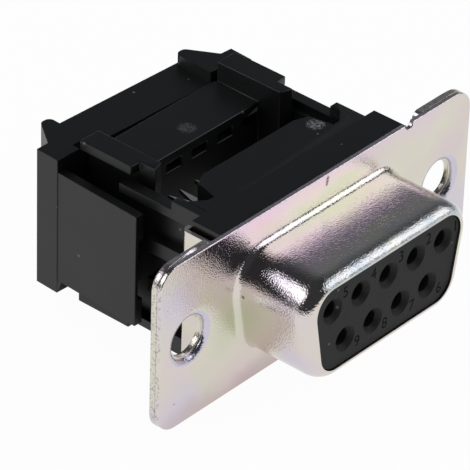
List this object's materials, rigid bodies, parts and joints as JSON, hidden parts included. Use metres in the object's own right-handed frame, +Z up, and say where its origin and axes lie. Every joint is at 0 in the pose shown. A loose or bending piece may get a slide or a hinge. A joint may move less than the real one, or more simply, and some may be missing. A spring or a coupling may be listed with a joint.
{
  "type": "d-sub ribbon cable socket",
  "caption": "D-shaped ribbon cable socket with metal shell and flange, black housing, sliding clamp cover and strain relief clip.",
  "frame": {"origin": "centre of the flange's front face, midway between the two fixing holes", "axes": "+X along the flange, to the right seen from the mating side; +Y from the mating face to the rear; +Z up, towards the wider side of the D"},
  "size_m": [0.0308, 0.0247, 0.0126],
  "materials": {
    "shell_metal": "zinc plated, iridescent passivation",
    "bracket_metal": "zinc plated, iridescent passivation",
    "insulator_plastic": "moulded, satin",
    "housing_plastic": "moulded, satin",
    "cover_plastic": "moulded, satin",
    "relief_plastic": "moulded, satin",
    "contact_metal": "tin plated"
  },
  "bodies": {
    "connector": {"front_shell": "shell_metal", "left_bracket": "bracket_metal", "right_bracket": "bracket_metal", "contact_insulator": "insulator_plastic", "housing": "housing_plastic", "contact_1": "contact_metal", "contact_2": "contact_metal", "contact_3": "contact_metal", "contact_4": "contact_metal", "contact_5": "contact_metal", "contact_6": "contact_metal", "contact_7": "contact_metal", "contact_8": "contact_metal", "contact_9": "contact_metal"},
    "cover": {"cover": "cover_plastic"},
    "strain_relief": {"strain_relief": "relief_plastic"}
  },
  "joints": [
    {"name": "cover_slide", "type": "slide", "parent": "connector", "child": "cover", "axis": [0, 1, 0], "range_m": [-0.0032, 0]},
    {"name": "strain_relief_slide", "type": "slide", "parent": "cover", "child": "strain_relief", "axis": [0, 1, 0], "range_m": [0, 0.006]}
  ]
}
